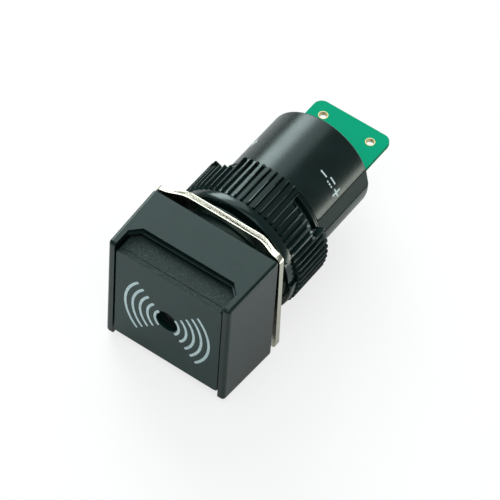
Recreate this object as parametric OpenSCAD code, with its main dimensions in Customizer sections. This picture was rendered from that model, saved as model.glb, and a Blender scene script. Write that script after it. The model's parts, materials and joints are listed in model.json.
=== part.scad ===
// Panel-mount electronic sounder for a 16 mm hole, with a square head.
// Axes: Y is the barrel's axis, front of the head towards -Y, top of the head towards +Z.
// The origin is on the axis, in the plane where the back of the head meets the panel.

/* [Head] */
// Width of the head at the panel, left to right
head_w = 18; // [17.5:0.5:24]
// Height of the head at the panel, bottom to top
head_h = 17.8; // [17.4:0.4:24]
// Depth of the head in front of the panel
head_d = 9.5; // [8.7:0.2:13]
// How much each side of the head draws in towards the front
head_draft = 0.3; // [0.1:0.05:0.4]
// Radius of the head's outer edges
head_r = 0.45; // [0.2:0.05:0.8]
// Thickness of the left and right walls at the front
side_wall = 0.95; // [0.8:0.05:1.2]
// Thickness of the top and bottom walls at the front
top_wall = 0.75; // [0.65:0.05:1]
// Thickness of the floor between the cap's pocket and the panel
floor_t = 2.6; // [2:0.2:3.4]
// How far the finger notches reach back from the front
notch_d = 3.55; // [2.8:0.05:4.2]
// Leg of the 45 degree corners of the finger notches
notch_corner = 1.25; // [0.6:0.05:1.8]
// Width of the step along the edge of the finger notches
notch_step = 0.35; // [0.2:0.05:0.5]

/* [Cap] */
// Thickness of the cap's walls
cap_wall = 0.9; // [0.6:0.05:1]
// Thickness of the smooth front plate
plate_t = 0.7; // [0.5:0.05:1]
// Gap between the cap and the walls of the head
cap_gap = 0.2; // [0.15:0.05:0.3]
// How far the front plate lies back from the front of the head
cap_recess = 0.1; // [0:0.05:0.3]
// Radius of the sound hole
sound_r = 1.55; // [1.2:0.05:2.2]

/* [Barrel] */
// Nominal diameter of the thread
thread_d = 16; // [15.8:0.1:16.4]
// Pitch of the thread
thread_pitch = 1; // [0.8:0.1:1.2]
// Depth of the thread
thread_depth = 0.55; // [0.4:0.05:0.6]
// Length of the plain neck that sits in the panel
neck_len = 2.2; // [1.8:0.2:3]
// Distance from the panel plane to the end of the threaded barrel
barrel_end = 11.2; // [11:0.2:16]
// Wall of the barrel under the thread
barrel_wall = 0.65; // [0.6:0.05:0.8]
// Width of the keyway along the thread
key_w = 2.7; // [2:0.1:3.2]
// Direction of the keyway, measured from +X towards +Z
key_angle = 13.5; // [0:0.5:30]

/* [Fixing hardware] */
// Thickness of the spring plate
spring_t = 0.8; // [0.5:0.1:1]
// Rise of the middle of the spring plate
spring_rise = 1.15; // [0.6:0.05:1.5]
// Distance from the axis to the bends of the spring plate
spring_bend_x = 5.5; // [4:0.5:6]
// Length of the flatter toes at the ends of the spring plate
spring_toe = 1.4; // [0.8:0.1:1.6]
// Rise of the spring plate over its toes
toe_rise = 0.25; // [0:0.05:0.4]
// Tilt of the loose spring plate about its top edge
spring_tilt = 2; // [0:0.5:3]
// Wall of the lock ring, from the nominal thread outwards
ring_wall = 0.75; // [0.6:0.05:1]
// Length of the lock ring along the axis
ring_len = 1.35; // [1:0.05:1.8]
// Room for the loose spring plate between the head and the lock ring
plate_play = 1.4; // [1.3:0.1:2.4]
// Wall of the nut, from the nominal thread out to the ribs
nut_wall = 1.05; // [0.9:0.05:1.8]
// Length of the nut with its castellations
nut_len = 6.1; // [5:0.1:6.4]
// Depth of the gaps between the castellations
castle_d = 1.9; // [1:0.1:2.4]
// Number of castellations
castle_count = 4; // [3:1:6]
// Ribs round the nut for each castellation, full and short together
ribs_per_castle = 15; // [9:1:18]
// Depth of the ribs
rib_d = 0.4; // [0.2:0.05:0.5]

/* [Rear body] */
// Step from the nominal thread down to the rear sleeve
sleeve_step = 0.8; // [0.5:0.05:0.9]
// Distance from the panel plane to the end of the rear sleeve
sleeve_end = 22.05; // [20:0.25:30]
// Wall of the rear sleeve
sleeve_wall = 0.5; // [0.4:0.05:0.55]
// Wall of the inner carrier
carrier_wall = 0.65; // [0.5:0.05:0.8]

/* [Circuit board] */
// Gap from each long edge of the circuit board to the carrier's bore
board_side_gap = 0.5; // [0.3:0.05:0.8]
// Thickness of the circuit board
board_t = 0.6; // [0.5:0.1:1.2]
// Length of the tail that stands out of the sleeve
tail_len = 7.75; // [5:0.25:12]
// Radius of the tail's corners
tail_corner_r = 1.2; // [0.5:0.1:2]
// Distance from the middle of each wire eyelet to the long edge of the board
eyelet_edge = 2; // [1.2:0.1:3]
// Distance from the middle of the eyelets to the end of the tail
eyelet_inset = 2.1; // [1.5:0.1:3]
// Radius of the hole in a wire eyelet
eyelet_r = 0.5; // [0.4:0.05:0.8]

/* [Sounder] */
// Gap round the sounder's case in the cap and in the barrel
sounder_gap = 0.45; // [0.3:0.05:0.8]
// Length of the sounder's case
sounder_len = 9.4; // [8:0.2:11]
// Thickness of the felt ring in front of the sounder
felt_t = 1; // [0.6:0.1:1.4]

/* [Hidden] */

eps = 0.01;          // what a cut runs past the face that it opens
fine = 0.05;         // gap between parts that are pushed or slid together
run_gap = 0.08;      // radial gap of the nut and the lock ring on the thread
round_n = 120;       // sides of large rounds
small_n = 48;        // sides of small rounds

// Head and cap
pocket_w = head_w - 2 * (head_draft + side_wall);
pocket_h = head_h - 2 * (head_draft + top_wall);
cap_w = pocket_w - 2 * cap_gap;
cap_h = pocket_h - 2 * cap_gap;
cap_r = 0.25;
front_y = -head_d;
cap_y = front_y + cap_recess + plate_t;
cap_inside_y = cap_y + cap_wall;
cap_back_y = -floor_t - cap_gap;
plate_chamfer = 0.12;
snap_z = 2.7;
snap_h = 3.4;
snap_d = 0.35;
snap_len = 2.4;
snap_front = 0.7;

// Barrel
crest_r = thread_d / 2 - fine;
root_r = crest_r - thread_depth;
barrel_bore_r = root_r - barrel_wall;
crest_w = 0.2 * thread_pitch;
ridge_count = floor((barrel_end - neck_len) / thread_pitch);
keyway_floor_r = root_r - 0.1;

// Fixing hardware
hardware_bore_r = crest_r + run_gap;
ring_r = thread_d / 2 + ring_wall;
nut_r = thread_d / 2 + nut_wall;
plate_hole_r = crest_r + 0.3;
plate_corner_r = 0.8;
ring_step_r = hardware_bore_r + 0.35;
ring_step_half = 12.5;
ring_y = fine + spring_rise + spring_t + plate_play;
nut_y = ring_y + ring_len + fine;
rib_count = castle_count * ribs_per_castle;
rib_angle = 360 / rib_count;
castle_share = 0.4;          // share of each castellation's turn that is cut short
castle_gap_half = castle_share * 180 / castle_count;
castle_gap_angle = 42;

// Rear body
sleeve_r = thread_d / 2 - sleeve_step;
sleeve_y = barrel_end + fine;
sleeve_bore_r = sleeve_r - sleeve_wall;
collar_r = sleeve_r + 0.25;
collar_len = 0.25;
collar_groove = 0.2;
collar_groove_d = 0.3;
window_y = sleeve_y + collar_len + collar_groove;
window_corner_r = 0.5;
carrier_r = min(sleeve_bore_r, barrel_bore_r) - fine;
carrier_bore_r = carrier_r - carrier_wall;
carrier_end = sleeve_end - 0.4;
key_rib_r = sleeve_r - 0.1;
key_rib_end = sleeve_end - fine;
rail_w = 0.75;
rail_h = 0.7;

// Sounder, from the front backwards
sounder_r = min(barrel_bore_r, min(cap_w, cap_h) / 2 - cap_wall) - sounder_gap;
felt_y = cap_inside_y + fine;
sounder_y = felt_y + felt_t;
sounder_end = sounder_y + sounder_len;
case_wall = 0.6;
case_front = 0.8;
case_bore_r = sounder_r - case_wall;
seat_wall = 0.45;
seat_y = sounder_y + case_front + 1.3;
disc_t = 0.12;
weight_r = 1.9;
weight_t = 0.5;
port_r = 1.2;
base_t = 1;
base_y = sounder_end - 0.6 - base_t;
yoke_t = 1;
yoke_y = base_y - yoke_t;
core_r = 1.3;
air_gap = 0.35;
magnet_wall = 1.15;
core_y = seat_y + disc_t + air_gap;
magnet_r = case_bore_r - 0.25;
magnet_bore_r = magnet_r - magnet_wall;
magnet_y = core_y + 0.2;
bobbin_wall = 0.35;
bobbin_r = magnet_bore_r - 0.8;
bobbin_y = core_y + 0.4;
pin_x = 2.5;
pin_r = 0.35;
carrier_y = sounder_end + fine;

// Circuit board and what stands on it
board_w = 2 * (carrier_bore_r - board_side_gap);
board_y = carrier_y + 4;
board_end = sleeve_end + tail_len;
eyelet_pitch = board_w - 2 * eyelet_edge;
board_top = board_t / 2;
pin_z = board_top + pin_r + fine;
pin_end = board_y + 2.4;
potting_t = 1.6;
eyelet_wall = 0.1;
eyelet_flange = 0.04;
eyelet_flange_t = 0.04;
bead_r = 1.1;
parts_y = board_y + 4.8;
parts_pitch = 2.3;

module head_tint() { color([0.09, 0.1, 0.1]) children(); }

// Stands a shape that was drawn along +Z on the barrel's axis, its base at y
module along_axis(y) { translate([0, y, 0]) rotate([-90, 0, 0]) children(); }

// Turns a shape from +X towards +Z
module around_axis(a) { rotate([0, -a, 0]) children(); }

module rod(y, length, r, n = round_n) { along_axis(y) cylinder(h = length, r = r, $fn = n); }

module tube(y, length, r, bore, n = round_n) {
  along_axis(y) difference() {
    cylinder(h = length, r = r, $fn = n);
    translate([0, 0, -eps]) cylinder(h = length + 2 * eps, r = bore, $fn = n);
  }
}

// Rectangle with round corners, centred
module round_rect(w, h, r) {
  union() {
    square([w - 2 * r, h], center = true);
    square([w, h - 2 * r], center = true);
    for (sx = [-1, 1], sz = [-1, 1])
      translate([sx * (w / 2 - r), sz * (h / 2 - r)]) circle(r = r, $fn = 32);
  }
}

// Outer form of the head: round edges all over, drawn in towards the front
module head_block() {
  hull() for (sx = [-1, 1], sz = [-1, 1], end = [0, 1])
    translate([sx * (head_w / 2 - head_r - end * head_draft),
               end ? front_y + head_r : -head_r,
               sz * (head_h / 2 - head_r - end * head_draft)])
      sphere(r = head_r, $fn = 24);
}

// Outline of a finger notch seen from above, its edge moved out by grow
module notch_outline(grow) {
  half = pocket_w / 2;
  back = front_y + notch_d + grow;
  side_back = back - notch_corner;
  polygon([[-half - eps, front_y - 1], [half + eps, front_y - 1], [half + eps, side_back],
           [half - notch_corner, back], [-half + notch_corner, back], [-half - eps, side_back]]);
}

module finger_notch() {
  translate([0, 0, pocket_h / 2 - eps]) linear_extrude(top_wall + 1) notch_outline(0);
  translate([0, 0, pocket_h / 2 + top_wall / 2]) linear_extrude(top_wall + 1) notch_outline(notch_step);
}

// Thread drawn as rings at its true pitch, so that the nut can slide along it
module threaded_barrel() {
  flank = (thread_pitch - crest_w) / 2;
  ridge = [for (i = [0 : ridge_count - 1])
    let (y = neck_len + i * thread_pitch)
    for (p = [[root_r, y + flank / 2], [crest_r, y + flank],
              [crest_r, y + flank + crest_w], [root_r, y + thread_pitch - flank / 2]]) p];
  along_axis(0) rotate_extrude($fn = round_n)
    polygon(concat([[barrel_bore_r, -floor_t], [crest_r, -floor_t], [crest_r, neck_len],
                    [root_r, neck_len]], ridge, [[root_r, barrel_end], [barrel_bore_r, barrel_end]]));
}

module housing() {
  head_tint() difference() {
    union() {
      difference() {
        head_block();
        translate([-pocket_w / 2, front_y - 1, -pocket_h / 2])
          cube([pocket_w, head_d - floor_t + 1, pocket_h]);
        finger_notch();
        mirror([0, 0, 1]) finger_notch();
        rod(-floor_t - 1, floor_t + 2, barrel_bore_r);
        for (s = [-1, 1])
          translate([s * (pocket_w / 2 + snap_d / 2), front_y + snap_front + snap_len / 2, snap_z])
            cube([snap_d + eps, snap_len, snap_h], center = true);
      }
      threaded_barrel();
    }
    around_axis(key_angle) translate([keyway_floor_r, neck_len, -key_w / 2])
      cube([thread_depth + 1, barrel_end, key_w]);
  }
}

module front_cap() {
  color([0.11, 0.115, 0.12]) difference() {
    translate([0, cap_back_y, 0]) rotate([90, 0, 0]) linear_extrude(cap_back_y - cap_y)
      round_rect(cap_w, cap_h, cap_r);
    translate([-cap_w / 2 + cap_wall, cap_inside_y, -cap_h / 2 + cap_wall])
      cube([cap_w - 2 * cap_wall, head_d, cap_h - 2 * cap_wall]);
    rod(cap_y - 1, 3, sound_r, small_n);
    rod(cap_inside_y - cap_wall / 3, 2, sound_r + 1, small_n);
  }
  color([0.11, 0.115, 0.12]) for (s = [-1, 1])
    translate([s * (cap_w / 2 + cap_gap / 4), front_y + snap_front + snap_len / 2 + 0.3, snap_z])
      cube([cap_gap / 2, snap_len / 2, snap_h * 0.7], center = true);
}

module legend_plate() {
  color([0.08, 0.09, 0.09]) difference() {
    union() {
      translate([0, cap_y, 0]) rotate([90, 0, 0]) linear_extrude(plate_t - plate_chamfer)
        round_rect(cap_w, cap_h, cap_r);
      translate([0, cap_y, 0]) rotate([90, 0, 0]) linear_extrude(plate_t)
        round_rect(cap_w - 2 * plate_chamfer, cap_h - 2 * plate_chamfer, cap_r);
    }
    rod(front_y - 1, 4, sound_r, small_n);
  }
}

module dust_mesh() {
  color([0.2, 0.2, 0.21]) rod(cap_inside_y - cap_wall / 3, 0.15, sound_r + 0.95, small_n);
}

module felt_ring() {
  color([0.25, 0.25, 0.26]) tube(felt_y, felt_t, sounder_r - 1.2, sound_r + 1.2);
}

// Bowed plate: its top ends touch the head, and its middle and its bottom edge stand off
module spring_plate() {
  toe_x = head_w / 2 - spring_toe;
  bow = [[-head_w / 2, 0], [-toe_x, toe_rise], [-spring_bend_x, spring_rise],
         [spring_bend_x, spring_rise], [toe_x, toe_rise], [head_w / 2, 0]];
  color([0.8, 0.79, 0.74]) difference() {
    translate([0, fine, head_h / 2]) rotate([spring_tilt, 0, 0]) translate([0, 0, -head_h / 2])
      intersection() {
        linear_extrude(head_h, center = true)
          polygon(concat(bow, [for (i = [len(bow) - 1 : -1 : 0]) bow[i] + [0, spring_t]]));
        translate([0, 4, 0]) rotate([90, 0, 0]) linear_extrude(5)
          round_rect(head_w, head_h - 0.1, plate_corner_r);
      }
    rod(-1, 5, plate_hole_r);
  }
}

module lock_ring() {
  color([0.1, 0.11, 0.11]) difference() {
    union() {
      tube(ring_y, ring_len, ring_r, hardware_bore_r);
      around_axis(key_angle)
        translate([keyway_floor_r + run_gap, ring_y, -key_w / 2 + run_gap])
          cube([ring_step_r - keyway_floor_r - run_gap, ring_len, key_w - 2 * run_gap]);
    }
    around_axis(key_angle) difference() {
      along_axis(ring_y - 1) rotate([0, 0, -ring_step_half])
        rotate_extrude(angle = 2 * ring_step_half, $fn = round_n) square([ring_r + 1, ring_len + 2]);
      rod(ring_y - 2, ring_len + 4, ring_step_r);
    }
  }
}

// Cross-section of the nut: ribs with narrow crests and flat valleys between them
module ribbed_section() {
  crest = 0.09;
  foot = 0.24;
  polygon([for (i = [0 : rib_count - 1])
    for (p = [[nut_r - rib_d, -foot], [nut_r, -crest], [nut_r, crest], [nut_r - rib_d, foot]])
      let (a = (i + p[1]) * rib_angle) [p[0] * cos(a), p[0] * sin(a)]]);
}

module mounting_nut() {
  color([0.07, 0.08, 0.08]) difference() {
    along_axis(nut_y) difference() {
      linear_extrude(nut_len) ribbed_section();
      translate([0, 0, -1]) cylinder(h = nut_len + 2, r = hardware_bore_r, $fn = round_n);
    }
    for (i = [0 : castle_count - 1])
      around_axis(castle_gap_angle + i * 360 / castle_count)
        along_axis(nut_y + nut_len - castle_d) rotate([0, 0, -castle_gap_half])
          rotate_extrude(angle = 2 * castle_gap_half, $fn = round_n) square([nut_r + 1, castle_d + 1]);
  }
}

// Window of the sleeve over the carrier's key rib, with round front corners on the sleeve
module sleeve_window() {
  length = sleeve_end - window_y + 1;
  around_axis(key_angle) translate([sleeve_bore_r - 1, window_y, 0]) rotate([90, 0, 90])
    linear_extrude(sleeve_wall + 2) difference() {
      union() {
        translate([0, -key_w / 2]) square([length, key_w]);
        translate([0, -key_w / 2 - window_corner_r]) square([window_corner_r, key_w + 2 * window_corner_r]);
      }
      for (s = [-1, 1]) translate([window_corner_r, s * (key_w / 2 + window_corner_r)])
        circle(r = window_corner_r, $fn = small_n);
    }
}

module rear_sleeve() {
  color([0.09, 0.1, 0.1]) difference() {
    union() {
      tube(sleeve_y, collar_len, collar_r, sleeve_bore_r);
      tube(sleeve_y, collar_len + collar_groove + eps, sleeve_r - collar_groove_d, sleeve_bore_r);
      tube(window_y, sleeve_end - window_y, sleeve_r, sleeve_bore_r);
    }
    sleeve_window();
  }
}

module inner_carrier() {
  color([0.13, 0.14, 0.14]) {
    difference() {
      union() {
        rod(carrier_y, carrier_end - carrier_y, carrier_r);
        intersection() {
          around_axis(key_angle)
            translate([0, window_y + fine, -key_w / 2 + 2 * fine])
              cube([key_rib_r, key_rib_end - window_y - fine, key_w - 4 * fine]);
          rod(window_y, sleeve_end, sleeve_r);
        }
      }
      rod(carrier_y - 1, sleeve_end - carrier_y + 2, carrier_bore_r);
    }
    intersection() {
      for (sx = [-1, 1], sz = [-1, 1])
        translate([sx > 0 ? carrier_bore_r - rail_w : -carrier_bore_r - rail_w,
                   board_y, sz > 0 ? board_top + fine : -board_top - fine - rail_h])
          cube([2 * rail_w, carrier_end - potting_t - board_y, rail_h]);
      rod(carrier_y, carrier_end - carrier_y, carrier_r - carrier_wall / 2);
    }
  }
}

module rear_potting() {
  color([0.12, 0.12, 0.12]) difference() {
    rod(carrier_end - potting_t + fine, potting_t - 2 * fine, carrier_bore_r - fine);
    translate([-board_w / 2, board_y, -board_t / 2]) cube([board_w, board_end, board_t]);
  }
}

module sounder_case() {
  seat_r = case_bore_r - seat_wall;
  inside_y = case_front;
  color([0.1, 0.1, 0.11]) along_axis(sounder_y) rotate_extrude($fn = round_n) polygon([
    [port_r, 0], [sounder_r, 0], [sounder_r, sounder_len], [case_bore_r, sounder_len],
    [case_bore_r, seat_y - sounder_y], [seat_r, seat_y - sounder_y], [seat_r, inside_y],
    [port_r, inside_y]]);
}

module sounder_base() {
  color([0.35, 0.3, 0.2]) difference() {
    rod(base_y, base_t, case_bore_r - fine);
    for (s = [-1, 1]) translate([s * pin_x, 0, pin_z])
      rod(base_y - 1, base_t + 2, pin_r, small_n);
  }
}

module diaphragm() {
  color([0.75, 0.75, 0.76]) rod(seat_y + eps, disc_t, case_bore_r - fine);
}

module diaphragm_weight() {
  color([0.6, 0.6, 0.62]) rod(seat_y - weight_t, weight_t, weight_r, small_n);
}

module ring_magnet() {
  color([0.22, 0.22, 0.23]) tube(magnet_y, yoke_y - magnet_y, magnet_r, magnet_bore_r);
}

module coil_bobbin() {
  color([0.85, 0.83, 0.78]) difference() {
    union() {
      rod(bobbin_y, bobbin_wall, bobbin_r);
      rod(bobbin_y, yoke_y - bobbin_y, core_r + fine + bobbin_wall);
      rod(yoke_y - bobbin_wall, bobbin_wall, bobbin_r);
    }
    rod(bobbin_y - 1, yoke_y - bobbin_y + 2, core_r + fine);
  }
}

module coil() {
  color([0.72, 0.4, 0.2]) tube(bobbin_y + bobbin_wall + eps, yoke_y - bobbin_y - 2 * bobbin_wall - 2 * eps,
                               bobbin_r - 0.1, core_r + bobbin_wall + 2 * fine);
}

module pole_core() {
  color([0.6, 0.6, 0.62]) rod(core_y, base_y - core_y, core_r, small_n);
}

module yoke_plate() {
  color([0.55, 0.55, 0.57]) difference() {
    rod(yoke_y, yoke_t, case_bore_r - fine);
    rod(yoke_y - 1, yoke_t + 2, core_r + eps, small_n);
    for (s = [-1, 1]) translate([s * pin_x, 0, pin_z])
      rod(yoke_y - 1, yoke_t + 2, pin_r + 0.3, small_n);
  }
}

module at_eyelets() {
  for (s = [-1, 1]) translate([s * eyelet_pitch / 2, board_end - eyelet_inset, 0]) children();
}

module circuit_board() {
  color([0, 0.55, 0.35]) difference() {
    translate([0, 0, -board_t / 2]) linear_extrude(board_t) union() {
      translate([-board_w / 2, board_y]) square([board_w, board_end - board_y - tail_corner_r]);
      translate([-board_w / 2 + tail_corner_r, board_y])
        square([board_w - 2 * tail_corner_r, board_end - board_y]);
      for (s = [-1, 1])
        translate([s * (board_w / 2 - tail_corner_r), board_end - tail_corner_r])
          circle(r = tail_corner_r, $fn = small_n);
    }
    at_eyelets() cylinder(h = 3 * board_t, r = eyelet_r + eyelet_wall, center = true, $fn = small_n);
  }
}

module solder_eyelets() {
  color([0.85, 0.65, 0.3]) at_eyelets() difference() {
    union() {
      cylinder(h = board_t, r = eyelet_r + eyelet_wall, center = true, $fn = small_n);
      for (s = [-1, 1]) translate([0, 0, s * (board_t + eyelet_flange_t) / 2])
        cylinder(h = eyelet_flange_t, r = eyelet_r + eyelet_wall + eyelet_flange, center = true,
                 $fn = small_n);
    }
    cylinder(h = 3 * board_t, r = eyelet_r, center = true, $fn = small_n);
  }
}

// Small block with its base on the board and a lead foot at each given place
module chip(x, y, size, feet) {
  foot = [0.4, 0.5, 0.15];
  translate([x, y, board_top]) {
    translate([0, 0, size[2] / 2 + 0.1]) cube(size, center = true);
    for (p = feet) translate([p[0], p[1], 0]) translate([-foot[0] / 2, -foot[1] / 2, 0]) cube(foot);
  }
}

module transistor() {
  color([0.1, 0.1, 0.1]) chip(-1, parts_y, [2.9, 1.3, 1], [[-0.95, -0.7], [0.95, -0.7], [0, 0.7]]);
}

module diode() {
  color([0.12, 0.12, 0.12]) chip(0.8, parts_y + parts_pitch, [2.7, 1.6, 1.1], [[-1.4, 0], [1.4, 0]]);
}

module resistors() {
  color([0.15, 0.15, 0.16]) for (s = [-1, 1])
    chip(1.3 * s, parts_y + 2 * parts_pitch, [2, 1.25, 0.5], [[-0.9, 0], [0.9, 0]]);
}

module capacitor() {
  color([0.6, 0.45, 0.3]) chip(0, parts_y + 3 * parts_pitch, [2, 1.25, 0.9], [[-0.9, 0], [0.9, 0]]);
}

module sounder_pins() {
  color([0.8, 0.8, 0.8]) for (s = [-1, 1]) translate([s * pin_x, 0, pin_z])
    rod(base_y, pin_end - base_y, pin_r, small_n);
}

// Bead of solder round the end of each pin
module pin_solder() {
  color([0.75, 0.76, 0.77]) for (s = [-1, 1]) difference() {
    intersection() {
      translate([s * pin_x, board_y + 1.4, board_top - 0.2]) sphere(r = bead_r, $fn = small_n);
      translate([s * pin_x - 2, board_y, board_top]) cube([4, 4, 2]);
    }
    translate([s * pin_x, 0, pin_z]) rod(board_y - 1, 6, pin_r, small_n);
  }
}

housing();
front_cap();
legend_plate();
dust_mesh();
felt_ring();
spring_plate();
lock_ring();
mounting_nut();
rear_sleeve();
inner_carrier();
rear_potting();
sounder_case();
sounder_base();
diaphragm();
diaphragm_weight();
ring_magnet();
coil_bobbin();
coil();
pole_core();
yoke_plate();
circuit_board();
solder_eyelets();
transistor();
diode();
resistors();
capacitor();
sounder_pins();
pin_solder();
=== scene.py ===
"""Builds the looks of a panel-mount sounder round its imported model."""

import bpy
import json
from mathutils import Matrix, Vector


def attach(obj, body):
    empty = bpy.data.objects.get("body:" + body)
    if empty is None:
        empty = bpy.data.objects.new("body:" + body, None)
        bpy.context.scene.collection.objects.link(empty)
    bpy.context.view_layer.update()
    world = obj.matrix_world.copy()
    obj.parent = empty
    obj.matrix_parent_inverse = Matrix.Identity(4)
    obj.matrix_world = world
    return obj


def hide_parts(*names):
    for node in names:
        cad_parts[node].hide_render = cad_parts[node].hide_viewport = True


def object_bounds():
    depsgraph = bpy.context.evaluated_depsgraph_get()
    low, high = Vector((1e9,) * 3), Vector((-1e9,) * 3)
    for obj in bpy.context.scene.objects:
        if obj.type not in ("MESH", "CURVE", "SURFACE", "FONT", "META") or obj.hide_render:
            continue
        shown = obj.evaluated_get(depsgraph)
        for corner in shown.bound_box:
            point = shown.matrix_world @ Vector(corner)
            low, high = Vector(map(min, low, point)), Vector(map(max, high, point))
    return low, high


bl_info = {
    "name": "Panel-mount sounder",
    "version": (1, 0, 0),
    "blender": (4, 5, 0),
    "location": "3D View > Sidebar > Sounder",
    "description": "Moulded head, fixing hardware, rear sleeve and board of a panel-mount sounder",
    "category": "Object",
}

import json
import math

import bmesh
import bpy
from bpy.props import FloatProperty, FloatVectorProperty, IntProperty, PointerProperty
from mathutils import Matrix, Vector

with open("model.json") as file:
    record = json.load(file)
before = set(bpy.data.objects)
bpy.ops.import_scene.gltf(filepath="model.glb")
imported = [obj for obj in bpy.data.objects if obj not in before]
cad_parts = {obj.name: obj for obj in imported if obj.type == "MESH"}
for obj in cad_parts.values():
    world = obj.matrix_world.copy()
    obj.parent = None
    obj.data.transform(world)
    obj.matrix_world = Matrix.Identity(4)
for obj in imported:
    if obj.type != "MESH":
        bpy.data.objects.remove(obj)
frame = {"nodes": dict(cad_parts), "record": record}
CAD_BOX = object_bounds()

MM = 0.001
SENSOR_WIDTH = 36.0
WARM_LIGHT = (1.0, 0.93, 0.82)


# ---------------------------------------------------------------- sizes and colours


def length(name, description, value, **more):
    """A length property, in metres, whose default is given in millimetres."""
    return FloatProperty(name=name, description=description, default=value * MM, min=0.0,
                         subtype="DISTANCE", unit="LENGTH", precision=5, **more)


def place(name, description, value):
    """A distance from the panel plane, in metres, which may be negative."""
    return FloatProperty(name=name, description=description, default=value * MM,
                         subtype="DISTANCE", unit="LENGTH", precision=5)


def turn(name, description, degrees):
    """An angle property, whose default is given in degrees."""
    return FloatProperty(name=name, description=description, default=math.radians(degrees),
                         subtype="ANGLE", unit="ROTATION")


def colour(name, description, value):
    """A colour property, in linear red, green and blue."""
    return FloatVectorProperty(name=name, description=description, default=value, size=3,
                               min=0.0, max=1.0, subtype="COLOR")


def amount(name, description, value, **more):
    """A plain number property."""
    return FloatProperty(name=name, description=description, default=value, **more)


class HeadSizes(bpy.types.PropertyGroup):
    width: length("Width", "Width of the head at the panel", 18)
    height: length("Height", "Height of the head at the panel", 17.8)
    depth: length("Depth", "Depth of the head in front of the panel", 9.5)
    draft: length("Draft", "How much each side draws in towards the front", 0.3)
    edge: length("Outer edge", "Radius of the outer edges", 0.45)
    pocket_width: length("Pocket width", "Width of the pocket for the cap", 15.5)
    pocket_height: length("Pocket height", "Height of the pocket for the cap", 15.7)
    floor: length("Floor", "Thickness of the floor of the pocket", 2.6)
    lip: length("Lip edge", "Radius of the inner edges of the lips", 0.13)
    notch_depth: length("Notch depth", "How far the finger notches reach back", 3.55)
    notch_corner: length("Notch corner", "Leg of the 45 degree corners of the notches", 1.25)
    notch_step: length("Notch step", "Width of the step round the notches", 0.35)
    snap_height: place("Snap height", "How high the snap recesses lie", 2.7)


class BarrelSizes(bpy.types.PropertyGroup):
    crest: length("Crest radius", "Radius of the thread at its crests", 7.95)
    root: length("Root radius", "Radius of the thread at its roots", 7.4)
    bore: length("Bore radius", "Radius of the barrel's bore", 6.75)
    neck: length("Neck", "Length of the plain neck", 2.2)
    end: length("End", "Distance from the panel plane to the barrel's end", 11.2)
    pitch: length("Pitch", "Pitch of the thread", 1.0)
    keyway: length("Keyway", "Width of the keyway", 2.7)
    key_angle: turn("Key angle", "Direction of the keyway from +X towards +Z", 13.5)


class CapSizes(bpy.types.PropertyGroup):
    width: length("Width", "Width of the cap", 15.1)
    height: length("Height", "Height of the cap", 15.3)
    front: place("Front", "Where the front plate's face lies", -9.4)
    joint: place("Joint", "Where the front plate meets the cap", -8.7)
    back: place("Back", "Where the cap ends inside the head", -2.8)
    wall: length("Wall", "Thickness of the cap's walls", 0.9)
    hole: length("Sound hole", "Radius of the sound hole", 1.55)
    edge: length("Edge", "Radius of the cap's long edges", 0.22)


class WaveSizes(bpy.types.PropertyGroup):
    count: IntProperty(name="Count", description="Arcs on each side of the sound hole", default=5, min=1)
    centre: place("Centre", "How far above the sound hole's middle the arcs are centred", -0.28)
    first: length("First radius", "Radius of the innermost arc", 1.75)
    step: length("Step", "Distance from arc to arc", 1.077)
    line: length("Line", "Width of the printed line", 0.36)
    half_turn: turn("Half turn", "How far an arc reaches above and below the middle", 44)
    film: length("Film", "Thickness of the print", 0.012)


class FixingSizes(bpy.types.PropertyGroup):
    plate: length("Spring plate", "Thickness of the spring plate", 0.8)
    rise: length("Rise", "Rise of the middle of the spring plate", 1.15)
    bend: length("Bend place", "Distance from the axis to the plate's bends", 5.5)
    toe: length("Toe", "Length of the flatter toes at the plate's ends", 1.4)
    toe_rise: length("Toe rise", "Rise of the plate over its toes", 0.25)
    tilt: turn("Tilt", "Tilt of the loose plate about its top edge", 2.0)
    plate_hole: length("Plate hole", "Radius of the hole in the plate", 8.25)
    ring: length("Ring radius", "Outer radius of the lock ring", 8.75)
    ring_bore: length("Bore radius", "Bore of the lock ring and the nut", 8.03)
    ring_front: place("Ring front", "Where the lock ring starts", 3.4)
    ring_back: place("Ring back", "Where the lock ring ends", 4.75)
    ring_step: length("Ring step", "Radius of the lock ring's low part", 8.38)
    ring_step_half: turn("Step half angle", "Half of the low part's angle", 12.5)
    nut: length("Nut radius", "Radius over the nut's ribs", 9.05)
    nut_front: place("Nut front", "Where the nut starts", 4.8)
    nut_back: place("Nut back", "Where the nut's castellations end", 10.9)
    gap_depth: length("Gap depth", "Depth of the gaps between the castellations", 1.9)
    rib: length("Rib depth", "Depth of the nut's ribs", 0.4)
    ribs: IntProperty(name="Ribs", description="Ribs round the nut", default=60, min=12)
    gaps: IntProperty(name="Gaps", description="Gaps between the castellations", default=4, min=2)
    gap_turn: turn("Gap angle", "Width of each gap", 36)
    gap_middle: turn("First gap", "Direction of the first gap from +X towards +Z", 42)


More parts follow.
